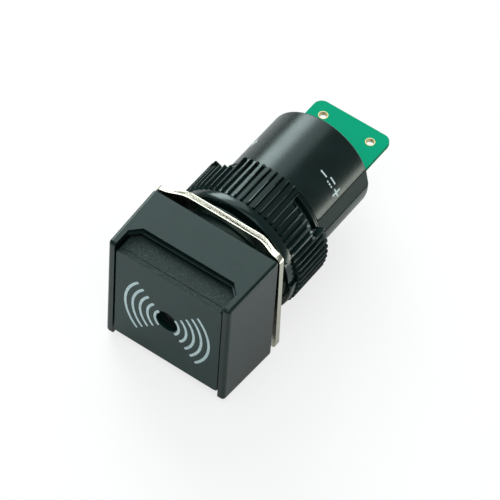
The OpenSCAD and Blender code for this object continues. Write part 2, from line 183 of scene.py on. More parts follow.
class RearSizes(bpy.types.PropertyGroup):
    sleeve: length("Sleeve radius", "Outer radius of the sleeve", 7.2)
    sleeve_bore: length("Sleeve bore", "Bore of the sleeve", 6.7)
    sleeve_front: place("Sleeve front", "Where the sleeve starts", 11.25)
    sleeve_back: place("Sleeve back", "Where the sleeve ends", 22.05)
    collar: length("Collar radius", "Radius of the collar", 7.45)
    collar_length: length("Collar length", "Length of the collar", 0.25)
    groove: length("Groove", "Width of the groove behind the collar", 0.2)
    window_corner: length("Window corner", "Radius of the window's front corners", 0.5)
    carrier: length("Carrier radius", "Outer radius of the carrier", 6.65)
    carrier_bore: length("Carrier bore", "Bore of the carrier", 6.0)
    carrier_front: place("Carrier front", "Where the carrier starts", 2.7)
    carrier_back: place("Carrier back", "Where the carrier ends", 21.65)
    rib_top: length("Rib radius", "How far the carrier's key rib reaches out", 7.1)
    resin: length("Resin", "Depth of the cast resin", 1.6)
    mark_front: place("Marks from", "Where the printed marks start", 15.1)
    mark_back: place("Marks to", "Where the printed marks end", 17.2)
    mark_line: length("Mark line", "Width of the printed marks' strokes", 0.21)


class BoardSizes(bpy.types.PropertyGroup):
    width: length("Width", "Width of the board", 11.0)
    thickness: length("Thickness", "Thickness of the board", 0.6)
    front: place("Front", "Where the board starts", 6.7)
    back: place("Back", "Where the board's tail ends", 29.8)
    corner: length("Corner", "Radius of the tail's corners", 1.2)
    pitch: length("Eyelet pitch", "Distance between the eyelets", 7.0)
    inset: length("Eyelet inset", "Distance from the eyelets to the tail's end", 2.1)
    hole: length("Eyelet hole", "Radius of the eyelets' holes", 0.5)
    plating: length("Eyelet wall", "Thickness of the eyelets' walls", 0.1)


class FinishColours(bpy.types.PropertyGroup):
    moulded: colour("Moulded black", "Head and front plate", (0.002, 0.012, 0.0105))
    grained: colour("Grained black", "Cap", (0.009, 0.021, 0.0185))
    polished: colour("Polished black", "Sleeve, ring and nut", (0.0015, 0.01, 0.009))
    matt: colour("Matt black", "Carrier and resin", (0.008, 0.02, 0.017))
    print_ink: colour("Print", "Sound waves and marks", (0.72, 0.88, 0.92))
    nickel: colour("Nickel", "Spring plate", (0.9, 0.87, 0.76))
    mask: colour("Solder mask", "Board", (0.001, 0.42, 0.225))
    gold: colour("Gold", "Eyelets", (0.6, 0.5, 0.27))


class StageSettings(bpy.types.PropertyGroup):
    azimuth: turn("Azimuth", "How far the camera stands to the right of the front", 32.13)
    elevation: turn("Elevation", "How high the camera stands", 51.72)
    roll: turn("Roll", "How far the camera is turned about its view axis", -4.42)
    distance: length("Distance", "Distance from the camera to its target", 420)
    target: FloatVectorProperty(name="Target", description="Point that the camera looks at", size=3,
                                default=(0.000497, 0.006861, -0.00244), subtype="TRANSLATION", unit="LENGTH")
    lens: FloatProperty(name="Lens", description="Focal length on a 36 mm sensor", default=252,
                        unit="CAMERA")
    world: amount("Surroundings", "Light from all round", 0.3, min=0.0)
    tint: colour("Tint", "Colour of the studio light", (0.93, 1.0, 0.985))
    softbox: amount("Softbox", "Power of the large lamp behind on the left, in watts", 2.4, min=0.0)
    key: amount("Key lamp", "Power of the small lamp before the softbox, in watts", 2.2, min=0.0)
    overhead: amount("Overhead", "Power of the lamp overhead, in watts", 3.0, min=0.0)
    warm: amount("Low lamp", "Power of the small warm lamp on the right, in watts", 0.1, min=0.0)


class SounderSettings(bpy.types.PropertyGroup):
    head: PointerProperty(type=HeadSizes)
    barrel: PointerProperty(type=BarrelSizes)
    cap: PointerProperty(type=CapSizes)
    waves: PointerProperty(type=WaveSizes)
    fixing: PointerProperty(type=FixingSizes)
    rear: PointerProperty(type=RearSizes)
    board: PointerProperty(type=BoardSizes)
    finishes: PointerProperty(type=FinishColours)
    stage: PointerProperty(type=StageSettings)


# ---------------------------------------------------------------- mesh tools


def block(low, high):
    """A closed box between two corners."""
    low, high = Vector(low), Vector(high)
    bm = bmesh.new()
    bmesh.ops.create_cube(bm, size=1.0)
    bmesh.ops.scale(bm, vec=high - low, verts=bm.verts)
    bmesh.ops.translate(bm, vec=(low + high) / 2, verts=bm.verts)
    return bm


def drum(y, span, radius, sides=144):
    """A closed cylinder along the barrel's axis, its near end at y."""
    bm = bmesh.new()
    bmesh.ops.create_cone(bm, cap_ends=True, segments=sides, radius1=radius, radius2=radius, depth=span)
    bmesh.ops.rotate(bm, matrix=Matrix.Rotation(math.radians(-90), 3, "X"), verts=bm.verts)
    bmesh.ops.translate(bm, vec=(0, y + span / 2, 0), verts=bm.verts)
    return bm


def outline(points):
    """One flat face through (radius, y) points, lying on the +X side of the axis."""
    bm = bmesh.new()
    bm.faces.new([bm.verts.new((r, y, 0)) for r, y in points])
    return bm


def turned(points, start=0.0, sweep=math.tau, steps=180, rise=0.0):
    """Spins an outline of (radius, y) points round the barrel's axis, from +X towards +Z."""
    bm = outline(points)
    full = sweep >= math.tau - 1e-6 and not rise
    if full:
        bmesh.ops.delete(bm, geom=bm.faces[:], context="FACES_ONLY")
    bmesh.ops.rotate(bm, matrix=Matrix.Rotation(start, 3, (0, -1, 0)), verts=bm.verts)
    bmesh.ops.spin(bm, geom=bm.verts[:] + bm.edges[:] + bm.faces[:], cent=(0, 0, 0), axis=(0, -1, 0),
                   dvec=(0, rise / steps, 0), angle=sweep, steps=steps, use_merge=full)
    bmesh.ops.remove_doubles(bm, verts=bm.verts, dist=1e-7)
    bmesh.ops.recalc_face_normals(bm, faces=bm.faces)
    return bm


def round_edges(bm, wanted, width, segments=3):
    """Rounds the edges that wanted(edge) picks."""
    edges = [e for e in bm.edges if len(e.link_faces) == 2 and wanted(e)]
    if edges:
        bmesh.ops.bevel(bm, geom=edges, offset=width, offset_type="OFFSET", segments=segments, profile=0.5,
                        affect="EDGES", material=-1, clamp_overlap=True)
    return bm


def bend(e):
    """Angle between an edge's two faces, in degrees."""
    return math.degrees(e.calc_face_angle(0.0))


def middle(e):
    """The middle of an edge."""
    return (e.verts[0].co + e.verts[1].co) / 2


def along(e, axis):
    """True if an edge runs along that axis, 0 to 2."""
    d = e.verts[1].co - e.verts[0].co
    return d.length > 1e-9 and abs(d[axis]) > 0.999 * d.length


def clean(bm, angle=0.2):
    """Merges doubles and faces that lie in one plane."""
    bmesh.ops.remove_doubles(bm, verts=bm.verts, dist=2e-7)
    bmesh.ops.dissolve_limit(bm, angle_limit=math.radians(angle), verts=bm.verts, edges=bm.edges)
    return bm


def join(*solids):
    """Several closed solids in one mesh."""
    whole = bmesh.new()
    for bm in solids:
        mesh = bpy.data.meshes.new("part")
        bm.to_mesh(mesh)
        whole.from_mesh(mesh)
        bpy.data.meshes.remove(mesh)
        bm.free()
    return whole


def as_object(name, bm):
    """Turns a finished bmesh into an object of the scene."""
    mesh = bpy.data.meshes.new(name)
    bm.to_mesh(mesh)
    bm.free()
    o = bpy.data.objects.new(name, mesh)
    bpy.context.scene.collection.objects.link(o)
    return o


def carve(bm, tool, operation="DIFFERENCE"):
    """Cuts one closed solid out of another, or adds or intersects it."""
    work, cutter = as_object("work", bm), as_object("cutter", tool)
    cut = work.modifiers.new("cut", "BOOLEAN")
    cut.object, cut.operation, cut.solver = cutter, operation, "EXACT"
    cut.use_self = False
    seen = work.evaluated_get(bpy.context.evaluated_depsgraph_get())
    result = bmesh.new()
    result.from_mesh(seen.to_mesh())
    seen.to_mesh_clear()
    for o in (work, cutter):
        mesh = o.data
        bpy.data.objects.remove(o)
        bpy.data.meshes.remove(mesh)
    if not result.faces:
        raise RuntimeError("a cut left nothing of the solid")
    return clean(result)


def spun(bm, angle):
    """Turns a solid about the barrel's axis, from +X towards +Z."""
    bmesh.ops.rotate(bm, matrix=Matrix.Rotation(angle, 3, (0, -1, 0)), verts=bm.verts)
    return bm


def piece(name, bm, body, finish, replaces=(), sharp=42.0):
    """Makes a finished mesh a piece of the object, with its body, CAD nodes and material."""
    bmesh.ops.recalc_face_normals(bm, faces=bm.faces)
    o = as_object(name, bm)
    o.data.materials.append(finish)
    o.data.shade_smooth()
    o.data.set_sharp_from_angle(angle=math.radians(sharp))
    normals = o.modifiers.new("flat faces stay flat", "WEIGHTED_NORMAL")
    normals.keep_sharp = True
    normals.weight = 60
    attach(o, body)
    if replaces:
        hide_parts(*replaces)
    return o


# ---------------------------------------------------------------- material tools


class Signal:
    """A shader socket that can be used in Python expressions, which add Math nodes."""

    def __init__(self, paint, socket):
        self.paint, self.socket = paint, socket

    def math(self, operation, *values):
        """One Math node."""
        return self.paint.node("ShaderNodeMath", {"operation": operation}, dict(enumerate(values)))

    def __add__(self, other):
        return self.math("ADD", self, other)

    __radd__ = __add__

    def __sub__(self, other):
        return self.math("SUBTRACT", self, other)

    def __rsub__(self, other):
        return self.math("SUBTRACT", other, self)

    def __mul__(self, other):
        return self.math("MULTIPLY", self, other)

    __rmul__ = __mul__

    def above(self, low, high):
        """0 under low, 1 over high, smooth between."""
        return self.paint.node("ShaderNodeMapRange", {"interpolation_type": "SMOOTHSTEP", "clamp": True},
                               {"Value": self, "From Min": low, "From Max": high})

    def most(self, other):
        """The larger of the two."""
        return self.math("MAXIMUM", self, other)


class Paint:
    """One material: a Principled shader with constants set on its own sockets."""

    def __init__(self, name, base, roughness, metallic=0.0, specular=0.3):
        self.material = bpy.data.materials.new(name)
        self.material.use_nodes = True
        self.nodes = self.material.node_tree.nodes
        self.links = self.material.node_tree.links
        self.shader = self.nodes["Principled BSDF"]
        for socket, value in (("Base Color", (*base, 1.0)), ("Roughness", roughness), ("Metallic", metallic),
                              ("Specular IOR Level", specular)):
            self.shader.inputs[socket].default_value = value
        self.spot = self.node("ShaderNodeTexCoord", {}, {}, "Object")

    def node(self, kind, settings, values, output=0):
        """Adds a node: its settings first, then the values or links of its sockets."""
        n = self.nodes.new(kind)
        for key, value in settings.items():
            setattr(n, key, value)
        for key, value in values.items():
            if isinstance(value, Signal):
                self.links.new(value.socket, n.inputs[key])
            else:
                n.inputs[key].default_value = value
        return Signal(self, n.outputs[output])

    def noise(self, size, detail=2.0, roughness=0.5, stretch=None):
        """Cloudy noise whose features are about that size, in metres."""
        at = self.spot
        if stretch:
            at = self.node("ShaderNodeMapping", {}, {"Vector": at, "Scale": stretch})
        return self.node("ShaderNodeTexNoise", {}, {"Vector": at, "Scale": 1 / size, "Detail": detail,
                                                    "Roughness": roughness})

    def bands(self, direction, scale, distortion=0.0):
        """Even bands across one axis, from 0 to 1."""
        return self.node("ShaderNodeTexWave", {"wave_type": "BANDS", "bands_direction": direction},
                         {"Vector": self.spot, "Scale": scale, "Distortion": distortion})

    def axes(self):
        """The X, Y and Z places on the object."""
        parts = self.node("ShaderNodeSeparateXYZ", {}, {0: self.spot})
        return [Signal(self, parts.socket.node.outputs[i]) for i in range(3)]

    def facing(self):
        """The X, Y and Z of the surface's own direction."""
        way = self.node("ShaderNodeNewGeometry", {}, {}, "Normal")
        parts = self.node("ShaderNodeSeparateXYZ", {}, {0: way})
        return [Signal(self, parts.socket.node.outputs[i]) for i in range(3)]

    def blend(self, share, first, second):
        """A mix of two colours: the second one's share goes from 0 to 1."""
        first, second = ((*c, 1.0) if isinstance(c, tuple) else c for c in (first, second))
        return self.node("ShaderNodeMix", {"data_type": "RGBA"}, {0: share, 6: first, 7: second}, 2)

    def feed(self, socket, value):
        """Links a value to one of the shader's sockets."""
        self.links.new(value.socket, self.shader.inputs[socket])

    def bump(self, height, depth, strength=1.0):
        """Feeds the shader's normal from a height, depth in metres for a height of 1."""
        self.feed("Normal", self.node("ShaderNodeBump", {}, {"Strength": strength, "Distance": depth,
                                                             "Height": height}))


def cool(paint, red=0.82):
    """Black plastics here mirror a little cooler than the light that falls on them."""
    paint.shader.inputs["Specular Tint"].default_value = (red, 1.0, 0.99, 1.0)
    return paint


def shade(tone, factor):
    """The same colour, lighter or darker."""
    return tuple(min(1.0, c * factor) for c in tone)


def made(name, maker):
    """A finish is made once and shared."""
    return bpy.data.materials.get(name) or maker(name).material


def moulded_black(name, tone, roughness=0.33, specular=0.45, grain=0.00009, depth=0.0000012,
                   red=0.8):
    """Injection-moulded black with faint flow clouds, fine tool grain and rubbed edges."""
    p = cool(Paint(name, tone, roughness, specular=specular), red)
    clouds = p.noise(0.004, 3.0, 0.55)
    fine = p.noise(grain, 2.0, 0.6)
    rub = p.noise(0.0009, 4.0, 0.65, (1.0, 3.0, 1.0)).above(0.56, 0.78)
    worn = p.blend(clouds.above(0.35, 0.7), shade(tone, 0.85), shade(tone, 1.18))
    p.feed("Base Color", p.blend(rub * 0.25, worn, shade(tone, 2.2)))
    p.feed("Roughness", clouds * 0.08 + fine * 0.1 + rub * 0.06 + (roughness - 0.1))
    p.bump(fine + clouds * 2.0, depth)
    return p


def ribbed_black(name, tone, valley, crest):
    """The nut: polished on its crests and dull down in the valleys between them; the base colour carries
    painted shade in the valleys and a painted highlight on the crests.
    """
    p = moulded_black(name, tone, 0.2, 0.45, 0.0001, 0.0000015)
    x, _, z = p.axes()
    up = (x * x + z * z).math("SQRT").above(valley, crest)
    # painted shade darkens the valleys between the ribs and a painted highlight lightens the crests
    p.feed("Base Color", p.blend(up, shade(tone, 0.5), shade(tone, 1.3)))
    p.feed("Roughness", 0.8 - up * 0.58 + p.noise(0.0004, 3.0, 0.6) * 0.06)
    return p


def grained_black(name, tone):
    """The cap's spark-eroded grain, a little shinier on its tops, with a painted highlight on the grain's
    tops and painted shade in its pits.
    """
    p = cool(Paint(name, tone, 0.5, specular=0.45))
    pits = p.noise(0.00022, 3.0, 0.7)
    coarse = p.noise(0.00045, 2.0, 0.5)
    height = pits + coarse * 0.5
    tops = pits.above(0.5, 0.68)
    # painted highlight on the grain's tops and painted shade in its pits
    p.feed("Base Color", p.blend(tops, shade(tone, 0.7), shade(tone, 2.4)))
    p.feed("Roughness", 0.56 - tops * 0.2)
    p.bump(height, 0.00011)
    return p


def polished_black(name, tone):
    """The sleeve: polished, with a thin greasy film."""
    p = cool(Paint(name, tone, 0.27, specular=0.45))
    film = p.noise(0.003, 3.0, 0.6)
    fine = p.noise(0.0001, 2.0, 0.5)
    p.feed("Base Color", p.blend(film.above(0.4, 0.7), shade(tone, 0.9), shade(tone, 1.25)))
    p.feed("Roughness", film * 0.1 + fine * 0.05 + 0.2)
    p.bump(film * 3.0 + fine, 0.0000007)
    return p


def matt_black(name, tone, roughness=0.6, size=0.0003):
    """Dull black with a fine grain and slow clouds."""
    p = cool(Paint(name, tone, roughness, specular=0.35))
    grain = p.noise(size, 3.0, 0.65)
    clouds = p.noise(0.003, 2.0, 0.5)
    p.feed("Base Color", p.blend(clouds, shade(tone, 0.75), shade(tone, 1.3)))
    p.feed("Roughness", grain * 0.16 + (roughness - 0.08))
    p.bump(grain, 0.00001)
    return p


def ink(name, tone):
    """Pad-printed ink, thin enough to vary in strength."""
    p = Paint(name, tone, 0.5, specular=0.3)
    thin = p.noise(0.0003, 3.0, 0.6)
    p.feed("Base Color", p.blend(thin.above(0.3, 0.7), shade(tone, 0.86), shade(tone, 1.08)))
    p.feed("Roughness", thin * 0.2 + 0.38)
    p.bump(thin, 0.000002)
    return p


def plated(name, tone, roughness=0.24, tarnish_and_shade=(0.28, 0.29, 0.2)):
    """Nickel plate: fine drawn lines, small pits, an olive tarnish in patches and painted olive shade on the
    plate's bent ends.
    """
    p = Paint(name, tone, roughness, metallic=1.0, specular=0.5)
    drawn = p.noise(0.00012, 2.0, 0.5, (0.08, 1.0, 1.0))
    pits = p.noise(0.00028, 3.0, 0.7).above(0.62, 0.74)
    patches = p.noise(0.0025, 3.0, 0.6).above(0.5, 0.75)
    x = p.axes()[0]
    # painted olive shade on the plate's bent ends, mixed below with the random tarnish patches
    sides = x.math("ABSOLUTE", x).above(0.0078, 0.0089)
    stain_and_shade = (patches * 0.25).most(sides * 0.45)
    p.feed("Base Color", p.blend(pits * 0.15, p.blend(stain_and_shade, tone, tarnish_and_shade), shade(tarnish_and_shade, 0.8)))
    p.feed("Roughness", drawn * 0.12 + patches * 0.1 + pits * 0.2 + (roughness - 0.08))
    p.bump(drawn - pits * 0.7, 0.0000012)
    return p


def turned_metal(name, tone, roughness=0.3):
    """Plain metal inside the sounder, with turning marks and light spotting."""
    p = Paint(name, tone, roughness, metallic=1.0, specular=0.5)
    marks = p.noise(0.00016, 2.0, 0.5, (1.0, 0.1, 1.0))
    spots = p.noise(0.0008, 3.0, 0.6).above(0.55, 0.8)
    p.feed("Base Color", p.blend(spots * 0.5, tone, shade(tone, 0.6)))
    p.feed("Roughness", marks * 0.14 + spots * 0.15 + (roughness - 0.07))
    p.bump(marks, 0.000004)
    return p


def solder_mask(name, tone):
    """Green mask over glass weave: darker, dull laminate on the board's cut edges."""
    p = Paint(name, tone, 0.45, specular=0.03)
    up = p.facing()[2]
    flat = up.math("ABSOLUTE", up).above(0.55, 0.85)
    cloth = p.bands("X", 620.0, 0.4) * p.bands("Y", 620.0, 0.4)
    film = p.noise(0.002, 3.0, 0.6)
    top = p.blend(cloth * 0.3 + film * 0.4, shade(tone, 0.92), shade(tone, 1.1))
    p.feed("Base Color", p.blend(flat, (0.01, 0.2, 0.09), top))
    p.feed("Roughness", film * 0.15 + 0.32 + (1 - flat) * 0.25)
    p.bump(cloth + film, 0.000003)
    return p


def laminate(name, tone):
    """Pressed or moulded sheet with faint layers."""
    p = Paint(name, tone, 0.6, specular=0.3)
    layers = p.noise(0.0002, 2.0, 0.5, (1.0, 8.0, 1.0))
    p.feed("Base Color", p.blend(layers, shade(tone, 0.8), shade(tone, 1.2)))
    p.feed("Roughness", layers * 0.2 + 0.5)
    p.bump(layers, 0.000008)
    return p


def wound_wire(name, tone):
    """Enamelled wire lying turn beside turn, with painted shade in the grooves between the turns."""
    p = Paint(name, tone, 0.3, metallic=0.7, specular=0.5)
    turns = p.bands("Y", 1400.0, 0.2)
    # painted shade in the grooves between the turns
    p.feed("Base Color", p.blend(turns, shade(tone, 0.5), tone))
    p.feed("Roughness", turns * -0.15 + 0.42)
    p.bump(turns, 0.00004)
    return p


def woven_mesh(name, tone):
    """Dust mesh: threads over and under, with painted shade in the gaps between them."""
    p = Paint(name, tone, 0.6, specular=0.3)
    threads = p.bands("X", 1100.0).most(p.bands("Z", 1100.0))
    # painted shade in the gaps between the threads
    p.feed("Base Color", p.blend(threads, shade(tone, 0.15), tone))
    p.feed("Roughness", 0.75 - threads * 0.2)
    p.bump(threads, 0.00005)
    return p


def felt(name, tone):
    """Matted fibres with tufts."""
    p = Paint(name, tone, 0.95, specular=0.1)
    fibres = p.noise(0.00008, 4.0, 0.8, (1.0, 0.3, 1.0))
    tufts = p.noise(0.0007, 3.0, 0.6)
    p.feed("Base Color", p.blend(fibres * 0.6 + tufts * 0.4, shade(tone, 0.6), shade(tone, 1.6)))
    p.feed("Roughness", fibres * 0.1 + 0.85)
    p.bump(fibres + tufts, 0.00006)
    return p


def fired_ceramic(name, tone):
    """Fine-grained ceramic with specks."""
    p = Paint(name, tone, 0.5, specular=0.3)
    speck = p.noise(0.00015, 4.0, 0.7)
    p.feed("Base Color", p.blend(speck, shade(tone, 0.75), shade(tone, 1.2)))
    p.feed("Roughness", speck * 0.2 + 0.4)
    p.bump(speck, 0.00001)
    return p


def finishes():
    """Every finish by the name of its material slot."""
    s = bpy.context.scene.sounder
    f = s.finishes
    tone = {k: tuple(getattr(f, k)) for k in FinishColours.__annotations__}
    return {
        "housing": made("moulded black", lambda n: moulded_black(n, tone["moulded"], 0.3)),
        "cap": made("grained black", lambda n: grained_black(n, tone["grained"])),
        "legend": made("satin black", lambda n: moulded_black(
            n, shade(tone["moulded"], 2.0), 0.36, grain=0.00006, depth=0.000001, red=0.72)),
        "hardware": made("hardware black", lambda n: moulded_black(
            n, tone["polished"], 0.19, grain=0.0001)),
        "ribbed": made("ribbed black", lambda n: ribbed_black(
            n, tone["polished"], valley=s.fixing.nut - 0.3 * MM, crest=s.fixing.nut - 0.08 * MM)),
        "sleeve": made("polished black", lambda n: polished_black(n, tone["polished"])),
        "carrier": made("matt black", lambda n: matt_black(n, tone["matt"])),
        "resin": made("cast resin", lambda n: matt_black(n, shade(tone["matt"], 0.8), 0.3, 0.0012)),
        "ink": made("print", lambda n: ink(n, tone["print_ink"])),
        "nickel": made("nickel plate", lambda n: plated(n, tone["nickel"])),
        "steel": made("plain steel", lambda n: turned_metal(n, (0.52, 0.52, 0.5))),
        "magnet": made("ferrite", lambda n: fired_ceramic(n, (0.05, 0.05, 0.055))),
        "copper": made("coil wire", lambda n: wound_wire(n, (0.62, 0.24, 0.1))),
        "bobbin": made("natural nylon", lambda n: laminate(n, (0.7, 0.67, 0.58))),
        "board": made("solder mask", lambda n: solder_mask(n, tone["mask"])),
        "laminate": made("brown laminate", lambda n: laminate(n, (0.2, 0.14, 0.07))),
        "gold": made("gold flash", lambda n: turned_metal(n, tone["gold"], 0.26)),
        "solder": made("solder", lambda n: turned_metal(n, (0.66, 0.67, 0.68), 0.22)),
        "chip": made("chip epoxy", lambda n: matt_black(n, (0.015, 0.016, 0.016), 0.55, 0.00008)),
        "ceramic": made("chip ceramic", lambda n: fired_ceramic(n, (0.36, 0.25, 0.15))),
        "felt": made("black felt", lambda n: felt(n, (0.03, 0.03, 0.03))),
        "mesh": made("dust mesh", lambda n: woven_mesh(n, (0.05, 0.05, 0.055))),
    }


# ---------------------------------------------------------------- housing


def finger_notch(head, grow, low):
    """Cutter for a finger notch: straight sides and 45 degree back corners."""
    front, back = -head.depth - MM, -head.depth + head.notch_depth + grow
    half = head.pocket_width / 2
    bm = block((-half, front, low), (half, back, head.height / 2 + MM))
    bmesh.ops.bisect_plane(bm, geom=bm.verts[:] + bm.edges[:] + bm.faces[:], dist=1e-7,
                           plane_co=(0, back - head.notch_corner, 0), plane_no=(0, 1, 0))
    for v in bm.verts:
        if v.co.y > back - 1e-6:
            v.co.x *= (half - head.notch_corner) / half
    return bm


def square_head(head, bore):
    bm = block((-head.width / 2, -head.depth, -head.height / 2), (head.width / 2, 0, head.height / 2))
    for v in bm.verts:
        if v.co.y < -head.depth / 2:
            v.co.x *= 1 - 2 * head.draft / head.width
            v.co.z *= 1 - 2 * head.draft / head.height
    round_edges(bm, lambda e: True, head.edge, 5)
    half_w, half_h = head.pocket_width / 2, head.pocket_height / 2
    wall_top = head.height / 2 - head.draft
    bm = carve(bm, block((-half_w, -head.depth - MM, -half_h), (half_w, -head.floor, half_h)))
    for low, grow in ((half_h - 0.1 * MM, 0.0), ((half_h + wall_top) / 2, head.notch_step)):
        for flip in (1, -1):
            notch = finger_notch(head, grow, low)
            bmesh.ops.scale(notch, vec=(1, 1, flip), verts=notch.verts)
            bmesh.ops.recalc_face_normals(notch, faces=notch.faces)
            bm = carve(bm, notch)
    for side in (1, -1):
        x0, x1 = sorted((side * (half_w - 0.1 * MM), side * (half_w + 0.35 * MM)))
        z, y = head.snap_height, -head.depth
        bm = carve(bm, block((x0, y + 0.7 * MM, z - 1.7 * MM), (x1, y + 3.1 * MM, z + 1.7 * MM)))
    bm = carve(bm, drum(-head.floor - MM, head.floor + 2 * MM, bore))
    inner = lambda e: (bend(e) > 40 and middle(e).y < -head.floor - 0.1 * MM
                       and e.calc_length() > 0.2 * MM)
    round_edges(bm, inner, head.lip, 3)
    return bm


def helical_thread(barrel):
    """A ridge that winds from the neck to the end, a little sunk into the barrel."""
    flank, crest = barrel.pitch * 0.4, barrel.pitch * 0.1
    sunk = barrel.root - 0.1 * MM
    y = barrel.neck + flank
    turns = (barrel.end - barrel.neck - 2 * flank) / barrel.pitch
    section = [(sunk, y - flank), (barrel.crest, y - crest), (barrel.crest, y + crest), (sunk, y + flank)]
    return turned(section, sweep=math.tau * turns, steps=int(96 * turns), rise=barrel.pitch * turns)


def threaded_barrel(barrel, floor):
    tube = turned([(barrel.bore, -floor + 0.05 * MM), (barrel.crest, -floor + 0.05 * MM),
                   (barrel.crest, barrel.neck - 0.15 * MM), (barrel.crest - 0.15 * MM, barrel.neck),
                   (barrel.root, barrel.neck), (barrel.root, barrel.end - 0.12 * MM),
                   (barrel.root - 0.12 * MM, barrel.end), (barrel.bore, barrel.end)])
    half = barrel.keyway / 2
    low, high = (barrel.root - 0.1 * MM, barrel.neck, -half), (barrel.crest + MM, barrel.end + MM, half)
    return join(*[carve(solid, spun(block(low, high), barrel.key_angle))
                  for solid in (tube, helical_thread(barrel))])


class SOUNDER_OT_housing(bpy.types.Operator):
    """Make the square head with its finger notches and the threaded barrel"""

    bl_idname = "sounder.housing"
    bl_label = "Housing"

    def execute(self, context):
        s = context.scene.sounder
        bm = join(square_head(s.head, s.barrel.crest - 0.1 * MM), threaded_barrel(s.barrel, s.head.floor))
        piece("moulded_housing", bm, "device", finishes()["housing"], ["housing"])
        return {"FINISHED"}


# ---------------------------------------------------------------- cap, front plate and print


class SOUNDER_OT_cap(bpy.types.Operator):
    """Make the grained cap and the smooth front plate"""

    bl_idname = "sounder.cap"
    bl_label = "Cap and front plate"

    def execute(self, context):
        s, f = context.scene.sounder, finishes()
        cap, head = s.cap, s.head
        w, h = cap.width / 2, cap.height / 2
        rim_y = cap.joint + 0.03 * MM
        shell = block((-w, rim_y, -h), (w, cap.back, h))
        round_edges(shell, lambda e: along(e, 1), cap.edge, 4)
        room_w, room_h = w - cap.wall, h - cap.wall
        shell = carve(shell, block((-room_w, cap.joint + cap.wall, -room_h), (room_w, cap.back + MM, room_h)))
        shell = carve(shell, drum(cap.joint - MM, 3 * MM, cap.hole, 64))
        shell = carve(shell, drum(cap.joint + cap.wall * 2 / 3, 2 * MM, cap.hole + MM, 64))
        round_edges(shell, lambda e: bend(e) > 60 and abs(middle(e).y - rim_y) < 1e-6
                    and max(abs(middle(e).x) / w, abs(middle(e).z) / h) > 0.9, 0.07 * MM, 2)
        snaps = []
        for side in (1, -1):
            x0, x1 = sorted((side * (w - 0.1 * MM), side * (w + 0.1 * MM)))
            y, z = -head.depth + 2.2 * MM, head.snap_height
            snap = block((x0, y - 0.6 * MM, z - 1.2 * MM), (x1, y + 0.6 * MM, z + 1.2 * MM))
            snaps.append(round_edges(snap, lambda e: True, 0.06 * MM, 2))
        piece("pull_off_cap", join(shell, *snaps), "cap", f["cap"], ["front_cap"])

        plate = block((-w, cap.front, -h), (w, cap.joint, h))
        round_edges(plate, lambda e: along(e, 1), cap.edge, 4)
        plate = carve(plate, drum(cap.front - MM, 3 * MM, cap.hole, 96))
        rim = lambda e: bend(e) > 60 and abs(middle(e).y - cap.front) < 1e-6
        round_edges(plate, lambda e: rim(e) and middle(e).length > 3 * cap.hole + abs(cap.front), 0.1 * MM, 3)
        round_edges(plate, lambda e: rim(e), 0.1 * MM, 3)
        round_edges(plate, lambda e: bend(e) > 60 and abs(middle(e).y - cap.joint) < 1e-6, 0.05 * MM, 2)
        front = piece("front_plate", plate, "cap", f["legend"], ["legend_plate"])
        front.data.materials.append(f["cap"])
        for face in front.data.polygons:
            if abs(face.normal.y) < 0.5 and face.center.xz.length > 3 * cap.hole:
                face.material_index = 1
        return {"FINISHED"}


def wave_arc(waves, radius, facing, y):
    """One printed arc with round ends, flat on the front plate."""
    half_line = waves.line / 2
    bm = bmesh.new()
    ends = [bm.verts.new((radius + d, y, 0)) for d in (-half_line, 0, half_line)]
    edges = [bm.edges.new(ends[0:2]), bm.edges.new(ends[1:3])]
    start = facing - waves.half_turn
    bmesh.ops.rotate(bm, matrix=Matrix.Rotation(start, 3, (0, -1, 0)), verts=bm.verts)
    steps = 28
    made_arc = bmesh.ops.spin(bm, geom=ends + edges, cent=(0, y, 0), axis=(0, -1, 0), dvec=(0, 0, 0),
                              angle=2 * waves.half_turn, steps=steps)
    last = [v for v in made_arc["geom_last"] if isinstance(v, bmesh.types.BMVert)]
    for group, sign in ((ends, 1), (last, -1)):
        hub, tip = group[1], group[2]
        hub_co = hub.co.copy()
        tip_new = [bm.verts.new(hub_co), bm.verts.new(tip.co)]
        edge = bm.edges.new(tip_new)
        bmesh.ops.spin(bm, geom=tip_new + [edge], cent=hub_co, axis=(0, sign, 0), dvec=(0, 0, 0),
                       angle=math.pi, steps=8)
    bmesh.ops.remove_doubles(bm, verts=bm.verts, dist=2e-7)
    return bm


class SOUNDER_OT_print(bpy.types.Operator):
    """Print the sound waves on the front plate"""

    bl_idname = "sounder.print"
    bl_label = "Sound waves"

    def execute(self, context):
        s = context.scene.sounder
        waves, y = s.waves, s.cap.front - 0.5 * s.waves.film
        arcs = [wave_arc(waves, waves.first + i * waves.step, side, y)
                for i in range(waves.count) for side in (0.0, math.pi)]
        print_layer = thicken(join(*arcs), waves.film)
        bmesh.ops.translate(print_layer, vec=(0, 0, waves.centre), verts=print_layer.verts)
        piece("sound_waves", print_layer, "cap", finishes()["ink"])
        return {"FINISHED"}


def thicken(bm, film):
    """Gives a flat print its thickness."""
    bmesh.ops.recalc_face_normals(bm, faces=bm.faces)
    bmesh.ops.solidify(bm, geom=bm.faces[:], thickness=film)
    return bm


# ---------------------------------------------------------------- fixing hardware


